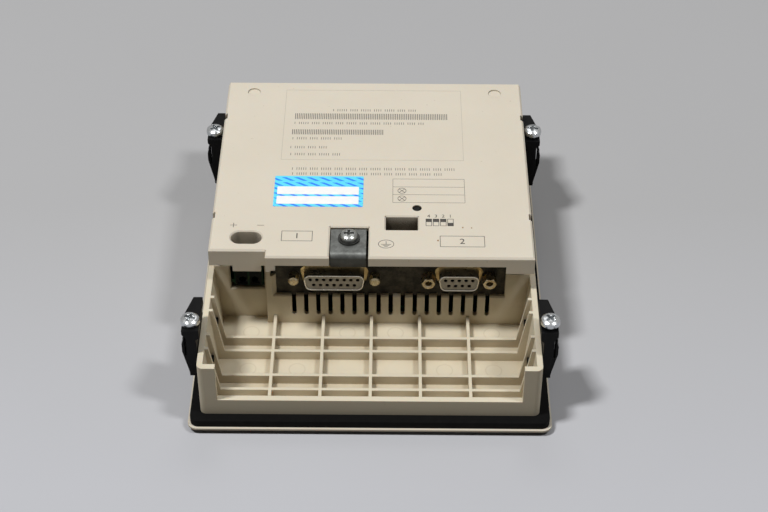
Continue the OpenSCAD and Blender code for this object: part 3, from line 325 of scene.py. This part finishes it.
def sticker_blue(name):
    """Bright blue with plain rows of darker slanted dashes."""
    g = material_graph(name)
    dash_pitch, row_pitch = 5.2 * MM, 3.4 * MM
    slant = g.math("ADD", g.axis("X"), g.math("MULTIPLY", g.axis("Y"), 1.7))
    dash = g.math("GREATER_THAN", g.math("FRACT", g.math("MULTIPLY", slant, 1 / dash_pitch)), 0.62)
    row = g.math("GREATER_THAN", g.math("FRACT", g.math("MULTIPLY", g.axis("Y"), 1 / row_pitch)), 0.3)
    tone = g.mix(g.math("MULTIPLY", dash, row), rgb(96, 228, 255), rgb(30, 132, 255))
    tone = g.mix(g.ramp(g.noise(120, 4), 0.35, 0.7, 0.0, 0.1), tone, rgb(70, 170, 214))
    return g.surface(base_color=tone, roughness=g.uneven(500, 0.3, 0.42),
                     normal=g.bump(g.noise(260, 3), 0.08, 0.05 * MM))


def paper(name):
    """White coated paper of the sticker's fields."""
    g = material_graph(name)
    return g.surface(base_color=g.patchy(300, 5, rgb(255, 254, 251), rgb(244, 246, 247)),
                     roughness=g.uneven(500, 0.35, 0.5),
                     normal=g.bump(g.noise(900, 3), 0.08, 0.02 * MM))


def table_top(name):
    """Pale matt table, painted a little darker away from the viewer as a painted falloff of the light; it
    throws back less light than it shows.
    """
    g = material_graph(name)
    # painted light: the table is painted darker away from the viewer
    away = g.ramp(g.axis("Y"), -0.13, 0.04)
    pale = g.mix(away, rgb(192, 193, 198), rgb(177, 177, 178))
    pale = g.mix(g.ramp(g.noise(5, 3), 0.3, 0.7, 0.0, 0.3), pale, rgb(182, 182, 184))
    return g.surface(base_color=g.mix(g.seen(), rgb(88, 83, 76), pale), roughness=0.8,
                     normal=g.bump(g.noise(1200, 4), 0.1, 0.05 * MM))


# BRACKET_DROP also sets where the sheet's painted shade begins
BRACKET_DROP = 7.0 * MM   # from the cover's top down to where the plate behind the ports begins
FLANGE_DROP = 1.0 * MM    # from a shell's far end to the front of its flange
# behind INSERT_FACE the insert is painted near black as shade
INSERT_FACE = 0.35 * MM   # from an insert's near end to where its contact holes turn dark

# the moulded finishes below paint shade into their corners and holes, and a highlight with wear onto their
# edges
cream = moulded("cream_casing", rgb(220, 211, 194), rough=0.56, grain=0.22, wear_and_highlight=0.15, specks=0.35,
                glow=0.12, recess=16 * MM)
cream_tray = moulded("cream_tray", rgb(220, 210, 187), rough=0.56, grain=0.22, wear_and_highlight=0.12, corner_shade=0.7,
                     specks=0.25, glow=0.12, marks=ejector_rings, reach=8 * MM)
seal = moulded("black_seal", rgb(8, 8, 8), rough=0.8, grain=0.3, grain_scale=1600, wear_and_highlight=0.1, corner_shade=0.0,
               specular=0.12)
clamp_black = moulded("black_clamps", rgb(7, 7, 8), rough=0.45, grain=0.2, grain_scale=1800, wear_and_highlight=0.8,
                      corner_shade=0.0, radius=0.3 * MM, specular=0.12)
zinc = metal("bright_zinc", rgb(205, 208, 210), rough=0.22, mottle=0.35, scratches=0.12)
steel = metal("screw_steel", rgb(168, 170, 167), rough=0.32, mottle=0.5, mottle_scale=500, scratches=0.2)
dull_steel = metal("washer_steel", rgb(70, 70, 68), rough=0.42, mottle=0.5, mottle_scale=500,
                   scratches=0.2)
nickel = metal("nickel_brass", rgb(196, 184, 156), rough=0.26, mottle=0.6, mottle_scale=420,
               dull=rgb(150, 128, 84))
sheet = sheet_metal("galvanised_sheet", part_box("rear_cover")[1].z - BRACKET_DROP)
insert = contact_insert("connector_insert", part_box("dsub15_body")[0].y + INSERT_FACE)
terminal = terminal_cells("terminal_cells")
board = circuit("circuit_board")
slider = moulded("switch_white", rgb(232, 231, 226), rough=0.35, grain=0.08, corner_shade=0.1)
switch = moulded("switch_red", rgb(120, 34, 30), rough=0.4, grain=0.1, corner_shade=0.1)
foil = moulded("keypad_foil", rgb(86, 92, 100), rough=0.5, grain=0.3, grain_scale=3200, wear_and_highlight=0.1,
               corner_shade=0.0)
key_grey = moulded("key_grey", rgb(196, 198, 200), rough=0.45, grain=0.16, corner_shade=0.15)
dark_plastic = moulded("display_unit_grey", rgb(70, 72, 74), rough=0.5, grain=0.1, corner_shade=0.0)
lens_black = moulded("lens_black", rgb(6, 7, 6), rough=0.4, grain=0.05, wear_and_highlight=0.0, corner_shade=0.0, specular=0.2)
dome = metal("dome_steel", rgb(200, 190, 160), rough=0.3)
bright_tin = metal("polished_tin", rgb(222, 219, 210), rough=0.2, mottle=0.3, scratches=0.1)
tin = tinned("tinned_shell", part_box("dsub15_shell")[1].y - FLANGE_DROP)
touch = glass("touch_glass")
pipe = light_pipe("light_pipe")
black_ink = ink("print_black", rgb(66, 62, 58))
field_ink = ink("print_field", rgb(104, 99, 92))
pale_ink = ink("print_pale", rgb(196, 188, 172))
foil_ink = ink("foil_print", rgb(188, 194, 200))
mask_ink = ink("display_mask", rgb(20, 22, 23), rough=0.3)
glue_brown = ink("glue_brown", rgb(150, 112, 62), rough=0.35)

FINISH = {
    "front_frame": cream, "casing_tray": cream_tray, "rear_cover": cream,
    "keypad_foil": foil, "touch_glass": touch, "panel_gasket": seal,
    "connector_plate": sheet, "dsub15_shell": tin, "dsub9_shell": tin,
    "dsub15_body": insert, "dsub9_body": insert, "lock_posts": nickel, "jack_screws": nickel,
    "terminal_block": terminal, "dip_body": switch, "status_led": pipe,
    "main_board": board, "keypad_board": board, "lcd_module": dark_plastic,
    "board_link": clamp_black, "key_domes": dome, "earth_screw": steel, "earth_washer": dull_steel,
}
FAMILIES = (("clamp_screw", zinc), ("clamp_", clamp_black), ("key_", key_grey), ("dip_slider", slider))


def finish_of(node):
    """The finish of a CAD node; small fasteners that are named nowhere are zinc."""
    if node in FINISH:
        return FINISH[node]
    return next((material for start, material in FAMILIES if node.startswith(start)), zinc)


for node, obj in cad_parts.items():
    if not obj.data.materials:
        obj.data.materials.append(finish_of(node))
    for slot in obj.material_slots:
        slot.material = finish_of(node)


# ---------- pieces ----------

def place_piece(name, data, material, body):
    """Puts a finished mesh into the scene, on its body."""
    piece = bpy.data.objects.new(name, data)
    bpy.context.scene.collection.objects.link(piece)
    data.materials.append(material)
    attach(piece, body)


def mesh_piece(name, mesh, material, body, smooth=False):
    data = bpy.data.meshes.new(name)
    mesh.to_mesh(data)
    mesh.free()
    if smooth:
        data.polygons.foreach_set("use_smooth", [True] * len(data.polygons))
    place_piece(name, data, material, body)


def band(mesh, low, high):
    """Faces between two rings of points."""
    for k in range(len(low)):
        j = (k + 1) % len(low)
        mesh.faces.new((low[k], low[j], high[j], high[k]))


def prism(mesh, corners, low_z, high_z):
    """A flat solid over corners in millimetres, which run anticlockwise; its heights are in metres."""
    low = [mesh.verts.new((x * MM, y * MM, low_z)) for x, y in corners]
    high = [mesh.verts.new((x * MM, y * MM, high_z)) for x, y in corners]
    mesh.faces.new(high)
    mesh.faces.new(low[::-1])
    band(mesh, low, high)


# ---------- printed marks ----------

COVER_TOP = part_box("rear_cover")[1].z
INK = 0.03 * MM          # thickness of a print
FINE, THIN = 0.14, 0.22  # widths of printed lines


class Print:
    """Marks of ink on a flat face, gathered into one mesh. Places are in the face's plane."""

    def __init__(self, name, z, up=1):
        self.name = name
        self.low_z, self.high_z = sorted((z, z + up * INK))
        self.mesh = bmesh.new()

    def face(self, corners):
        prism(self.mesh, corners, self.low_z, self.high_z)

    def line(self, a, b, width):
        a, b = Vector(a), Vector(b)
        along = (b - a).normalized() * width / 2
        side = Vector((-along.y, along.x))
        a, b = a - along, b + along
        self.face([a - side, b - side, b + side, a + side])

    def box(self, x0, x1, y0, y1, width):
        self.line((x0, y0), (x1, y0), width)
        self.line((x0, y1), (x1, y1), width)
        self.line((x0, y0 + width), (x0, y1 - width), width)
        self.line((x1, y0 + width), (x1, y1 - width), width)

    def fill(self, x0, x1, y0, y1):
        self.face([(x0, y0), (x1, y0), (x1, y1), (x0, y1)])

    def border(self, x0, x1, y0, y1, width):
        """Four filled bars inside a rectangle."""
        self.fill(x0, x1, y0, y0 + width)
        self.fill(x0, x1, y1 - width, y1)
        self.fill(x0, x0 + width, y0 + width, y1 - width)
        self.fill(x1 - width, x1, y0 + width, y1 - width)

    def ring(self, x, y, rx, ry, width):
        steps = 40
        angles = [2 * math.pi * i / steps for i in range(steps + 1)]
        for a, b in zip(angles, angles[1:]):
            quad = [(x + (rx + r * width) * math.cos(angle), y + (ry + r * width) * math.sin(angle))
                    for angle, r in ((a, -0.5), (b, -0.5), (b, 0.5), (a, 0.5))]
            self.face(quad[::-1])

    def ticks(self, x0, x1, y, tall, pitch, width, gaps):
        """Plain upright ticks of even pitch, which say nothing; gaps leaves some out."""
        for i in range(int((x1 - x0) / pitch)):
            if gaps and (i * i + 3 * i) % 11 == 4:
                continue
            x = x0 + i * pitch
            self.fill(x, x + width, y - tall / 2, y + tall / 2)

    def build(self, material, body):
        bmesh.ops.recalc_face_normals(self.mesh, faces=self.mesh.faces)
        mesh_piece(self.name, self.mesh, material, body)


LEGEND = (8.5, 38.4, -16.2, -0.6)                        # x0, x1, y0, y1, as in every box below
LEGEND_LINES, LAMP_ROWS = (-5.9, -11.0), (-8.45, -13.6)
LAMP_X, LAMP_RADIUS, LAMP_CROSS = 12.3, 1.7, 1.2
EARTH_X, EARTH_Y, EARTH_TOP = 5.9, -42.6, -41.0
EARTH_BARS = ((1.9, -42.8), (1.25, -43.5), (0.6, -44.2))  # half length and y
PORT_BOXES = ((-36.4, -24.0, -41.0, -34.9), (27.7, 45.6, -44.0, -37.4))
SWITCH_X, SWITCH_PITCH, SWITCH_WIDTH = 22.1, 2.95, 2.3
SWITCH_LOW, SWITCH_HIGH, SWITCH_FILL = -31.0, -26.7, 1.9
SIGN_Y, SIGN_HALF, PLUS_X, MINUS_X = -31.4, 1.3, -56.3, -45.3

marks = Print("cover_prints", COVER_TOP)
# legend with two lamps
marks.box(*LEGEND, FINE)
for y in LEGEND_LINES:
    marks.line((LEGEND[0], y), (LEGEND[1], y), FINE)
for y in LAMP_ROWS:
    marks.ring(LAMP_X, y, LAMP_RADIUS, LAMP_RADIUS, THIN)
    for rise in (-LAMP_CROSS, LAMP_CROSS):
        marks.line((LAMP_X - LAMP_CROSS, y - rise), (LAMP_X + LAMP_CROSS, y + rise), THIN)
# earth sign in a ring
marks.ring(EARTH_X, EARTH_Y, 3.1, 2.5, THIN)
marks.line((EARTH_X, EARTH_TOP), (EARTH_X, EARTH_BARS[0][1]), THIN)
for half, y in EARTH_BARS:
    marks.line((EARTH_X - half, y), (EARTH_X + half, y), THIN)
for port_box in PORT_BOXES:
    marks.box(*port_box, THIN)
# switch positions: three up, the last down
for i in range(4):
    x0 = SWITCH_X + SWITCH_PITCH * i
    marks.box(x0, x0 + SWITCH_WIDTH, SWITCH_LOW, SWITCH_HIGH, THIN)
    low = SWITCH_HIGH - SWITCH_FILL if i < 3 else SWITCH_LOW
    marks.fill(x0, x0 + SWITCH_WIDTH, low, low + SWITCH_FILL)
# polarity at the power slot
for x in (PLUS_X, MINUS_X):
    marks.line((x - SIGN_HALF, SIGN_Y), (x + SIGN_HALF, SIGN_Y), THIN)
marks.line((PLUS_X, SIGN_Y - SIGN_HALF), (PLUS_X, SIGN_Y + SIGN_HALF), THIN)
marks.build(black_ink, "housing")

# three small drops of glue that have turned brown: x, y and size
DROPS = ((37.0, -32.0, 0.3), (40.6, -32.2, 0.26), (26.8, -40.2, 0.34))
DROP_STEPS = 12
drops = Print("glue_drops", COVER_TOP)
for x, y, size in DROPS:
    drops.face([(x + size * math.cos(a), y + size * (1.5 + 0.4 * math.cos(a)) * math.sin(a))
                for a in (2 * math.pi * i / DROP_STEPS for i in range(DROP_STEPS))])
drops.build(glue_brown, "housing")

# ticks in place of the rating field's print: x0, x1 and y of thin rows, and with the height of dense rows
THIN_ROWS = ((-18.0, 19.4, 47.8), (-34.6, 23.2, 38.2), (-35.0, -12.4, 27.2), (-35.6, -18.6, 20.9),
             (-35.4, -12.8, 16.0), (-34.2, 36.4, 6.0), (-34.0, 30.4, 2.6))
DENSE_ROWS = ((-34.6, 33.2, 43.2, 4.2), (-35.4, 5.4, 31.8, 3.6))
field = Print("rating_field", COVER_TOP)
for x0, x1, y in THIN_ROWS:
    field.ticks(x0, x1, y, 1.6, pitch=0.95, width=0.24, gaps=True)
for x0, x1, y, tall in DENSE_ROWS:
    field.ticks(x0, x1, y, tall, pitch=0.8, width=0.32, gaps=False)
field.build(field_ink, "housing")

RATING_BOX = (-39.2, 38.5, 12.2, 62.8)
outline = Print("rating_outline", COVER_TOP)
outline.box(*RATING_BOX, 0.2)
outline.build(pale_ink, "housing")


def number(name, text, x, y, size, z, body, up=1):
    """A printed figure, as a thin solid mesh. up is -1 on a face that looks down."""
    curve = bpy.data.curves.new(name, "FONT")
    curve.body = text
    curve.size = size * MM
    curve.align_x = curve.align_y = "CENTER"
    curve.extrude = INK / 2
    curve.resolution_u = 4
    obj = bpy.data.objects.new(name + "_curve", curve)
    obj.location = (x * MM, y * MM, z + up * INK / 2)
    if up < 0:
        obj.rotation_euler = (0, math.pi, 0)
    bpy.context.scene.collection.objects.link(obj)
    bpy.context.view_layer.update()
    data = bpy.data.meshes.new_from_object(obj.evaluated_get(bpy.context.evaluated_depsgraph_get()))
    data.transform(obj.matrix_world)
    bpy.data.objects.remove(obj)
    data.materials.clear()
    place_piece(name, data, black_ink, body)


SWITCH_NUMBER_Y = -24.9
for i in range(4):
    number("switch_number_%d" % (4 - i), str(4 - i), SWITCH_X + SWITCH_WIDTH / 2 + SWITCH_PITCH * i,
           SWITCH_NUMBER_Y, 2.6, COVER_TOP, "housing")
# the keys are numbered row by row, from column 4 to column 1
KEYS = ["key_%d%d" % (row, column) for row in (1, 2) for column in (4, 3, 2, 1)]
for figure, key in enumerate(KEYS, 1):
    lo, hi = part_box(key)
    middle = (lo + hi) / 2 / MM
    number("key_figure_%d" % figure, str(figure), middle.x, middle.y, 6.0, lo.z, key, up=-1)
for port, x, y in ((1, -30.2, -38.0), (2, 36.6, -40.8)):
    number("port_number_%d" % port, str(port), x, y, 4.6, COVER_TOP, "housing")


# ---------- front: lines on the foil, dark mask round the display ----------

FOIL_LINE, KEYS_MARGIN, GLASS_MARGIN = 0.3, 6, 4
MASK_MARGIN, MASK_WIDTH = 1.2, 5
glass_lo, glass_hi = (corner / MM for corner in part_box("touch_glass"))
keys_lo, keys_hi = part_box("key_21")[0] / MM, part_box("key_14")[1] / MM

lines = Print("foil_lines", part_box("keypad_foil")[0].z, up=-1)
for lo, hi, margin in ((keys_lo, keys_hi, KEYS_MARGIN), (glass_lo, glass_hi, GLASS_MARGIN)):
    lines.box(lo.x - margin, hi.x + margin, lo.y - margin, hi.y + margin, FOIL_LINE)
lines.build(foil_ink, "housing")

mask = Print("display_mask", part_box("touch_glass")[0].z, up=-1)
mask.border(glass_lo.x + MASK_MARGIN, glass_hi.x - MASK_MARGIN,
            glass_lo.y + MASK_MARGIN, glass_hi.y - MASK_MARGIN, MASK_WIDTH)
mask.build(mask_ink, "housing")


# ---------- lens in the light's hole ----------

LENS_PROFILE = ((1.2, -3.0), (1.88, -3.0), (1.88, -0.75), (1.8, -0.5), (1.6, -0.36), (1.0, -0.27))
LENS_TIP = -0.24  # like the profile's second values, from the cover's top


def lens(name):
    """A domed plug: the profile, as radius and height, turned round the middle of the light pipe."""
    lo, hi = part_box("status_led")
    middle = Vector(((lo.x + hi.x) / 2, (lo.y + hi.y) / 2, COVER_TOP))
    steps = 40
    angles = [2 * math.pi * k / steps for k in range(steps)]
    mesh = bmesh.new()
    rings = [[mesh.verts.new(middle + Vector((r * math.cos(a), r * math.sin(a), z)) * MM)
              for a in angles] for r, z in LENS_PROFILE]
    tip = mesh.verts.new(middle + Vector((0, 0, LENS_TIP)) * MM)
    for low, high in zip(rings, rings[1:]):
        band(mesh, low, high)
    for k in range(steps):
        mesh.faces.new((rings[-1][k], rings[-1][(k + 1) % steps], tip))
    mesh.faces.new(rings[0][::-1])
    mesh_piece(name, mesh, lens_black, "housing", smooth=True)


lens("lamp_lens")


# ---------- rounded front edges of the connectors' shells ----------

DEE_HEIGHT, DEE_RADIUS, DEE_LEAN = 7.4, 2.35, 10  # the last in degrees
DEE_SIDES = 6.5       # by how much the rim's path is narrower than the insert with its ears
BEAD = 0.29           # radius of the rim's bead; the shell's wall is half a millimetre thick
BEAD_FRONT = 0.05     # how far the bead's middle lies behind the shell's front


def dee_outline(width):
    """D-shaped outline round its own centre, wide side up."""
    x, z = width / 2 - DEE_RADIUS, DEE_HEIGHT / 2 - DEE_RADIUS
    lean = math.tan(math.radians(DEE_LEAN)) * 2 * z
    steps = 8
    points = []
    for cx, cz, start, end in ((x, z, -DEE_LEAN, 90), (-x, z, 90, 180 + DEE_LEAN),
                               (-x + lean, -z, 180 + DEE_LEAN, 270), (x - lean, -z, 270, 360 - DEE_LEAN)):
        for step in range(steps + 1):
            a = math.radians(start + (end - start) * step / steps)
            points.append(Vector((cx + DEE_RADIUS * math.cos(a), cz + DEE_RADIUS * math.sin(a))))
    return points


def rolled_rim(name, body_node, shell_node):
    """Bead round the front edge of a shell."""
    lo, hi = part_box(body_node)
    middle = Vector(((lo.x + hi.x) / 2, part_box(shell_node)[0].y + BEAD_FRONT * MM, (lo.z + hi.z) / 2))
    path = dee_outline((hi.x - lo.x) / MM - DEE_SIDES)
    steps = 12
    angles = [2 * math.pi * k / steps for k in range(steps)]
    mesh = bmesh.new()
    rings = []
    for i, point in enumerate(path):
        along = (path[(i + 1) % len(path)] - path[i - 1]).normalized()
        out = Vector((along.y, -along.x)) * BEAD
        ring = []
        for a in angles:
            at = point + out * math.cos(a)
            ring.append(mesh.verts.new(middle + Vector((at.x, BEAD * math.sin(a), at.y)) * MM))
        rings.append(ring)
    for i, ring in enumerate(rings):
        band(mesh, ring, rings[(i + 1) % len(rings)])
    bmesh.ops.recalc_face_normals(mesh, faces=mesh.faces)
    mesh_piece(name, mesh, bright_tin, "housing", smooth=True)


rolled_rim("shell_rim_15", "dsub15_body", "dsub15_shell")
rolled_rim("shell_rim_9", "dsub9_body", "dsub9_shell")


# ---------- sticker ----------

def slab(name, x0, x1, y0, y1, z0, z1, radius, material, slot):
    """Thin plate with rounded corners, on the housing."""
    ring = []
    for cx, cy, start in ((x1 - radius, y1 - radius, 0), (x0 + radius, y1 - radius, 90),
                          (x0 + radius, y0 + radius, 180), (x1 - radius, y0 + radius, 270)):
        for step in range(7):
            a = math.radians(start + 15 * step)
            ring.append((cx + radius * math.cos(a), cy + radius * math.sin(a)))
    mesh = bmesh.new()
    prism(mesh, ring, z0, z1)
    mesh_piece(name, mesh, material, "housing")


STICKER = (-41.0, -3.8, -19.3, 0.9)
FIELD_X, FIELD_ROWS = (-39.7, -5.7), ((-11.3, -6.2), (-17.6, -12.5))
STICKER_TOP = COVER_TOP + 0.08 * MM
FIELD_TOP = COVER_TOP + 0.1 * MM

slab("sticker", *STICKER, COVER_TOP, STICKER_TOP, 0.6, sticker_blue("sticker_blue"), "touch_glass")
white = paper("sticker_paper")
for i, rows in enumerate(FIELD_ROWS, 1):
    slab("sticker_field_%d" % i, *FIELD_X, *rows, STICKER_TOP, FIELD_TOP, 0.4, white, "touch_glass")


# ---------- stage ----------

bpy.ops.mesh.primitive_plane_add(size=8.0, location=(0, 0, 0))
floor = bpy.context.object
floor.name = "floor"
floor.data.materials.append(table_top("floor"))

LAMP_DISTANCE = 2.6
KEY_SIZE, FILL_SIZE = (0.3, 0.45), (1.4, 0.9)


def soft_lamp(name, toward, size, share):
    """Area lamp in the direction toward; share 1 lights a facing surface so that it shows as written."""
    place = Vector(toward) * LAMP_DISTANCE
    data = bpy.data.lights.new(name, "AREA")
    data.shape = "RECTANGLE"
    data.size, data.size_y = size
    data.energy = share * math.pi ** 2 * place.length_squared
    obj = bpy.data.objects.new(name, data)
    obj.location = place
    obj.rotation_euler = (-place).to_track_quat("-Z", "Y").to_euler()
    bpy.context.scene.collection.objects.link(obj)


soft_lamp("key_left", (-0.41, -0.16, 1.0), KEY_SIZE, 0.69)
soft_lamp("key_right", (0.50, -0.20, 1.0), KEY_SIZE, 0.32)
soft_lamp("fill_back", (0.0, 0.8, 1.0), FILL_SIZE, 0.07)

# the sky lights the object by SKY_SHADE, and is seen at SKY_SEEN
SKY_SHADE, SKY_SEEN = 0.025, 0.45
world = bpy.data.worlds.new("world")
sky = Graph(world)
background = sky.add("Background", {"Color": (1.0, 0.98, 0.95, 1.0),
                                    "Strength": sky.ramp(sky.seen(), 0.0, 1.0, SKY_SHADE, SKY_SEEN)})
sky.tree.links.new(background.outputs[0], sky.add("OutputWorld").inputs["Surface"])
bpy.context.scene.world = world


# ---------- camera ----------

ELEVATION, YAW, ROLL = (math.radians(a) for a in (41.101, 0.288, 0.212))
TARGET = Vector((4.8314, 5.6738, 0)) * MM
DISTANCE = 763.888 * MM

camera = bpy.data.cameras.new("camera")
camera.sensor_width = 36
camera.lens = 81.08
back = Vector((math.sin(YAW) * math.cos(ELEVATION), -math.cos(YAW) * math.cos(ELEVATION),
               math.sin(ELEVATION)))
look = (-back).to_track_quat("-Z", "Y").to_matrix().to_4x4()
view = bpy.data.objects.new("camera", camera)
view.location = TARGET + back * DISTANCE
view.rotation_euler = (look @ Matrix.Rotation(ROLL, 4, "Z")).to_euler()
bpy.context.scene.collection.objects.link(view)
bpy.context.scene.camera = view
bpy.context.scene.view_settings.view_transform = "Standard"
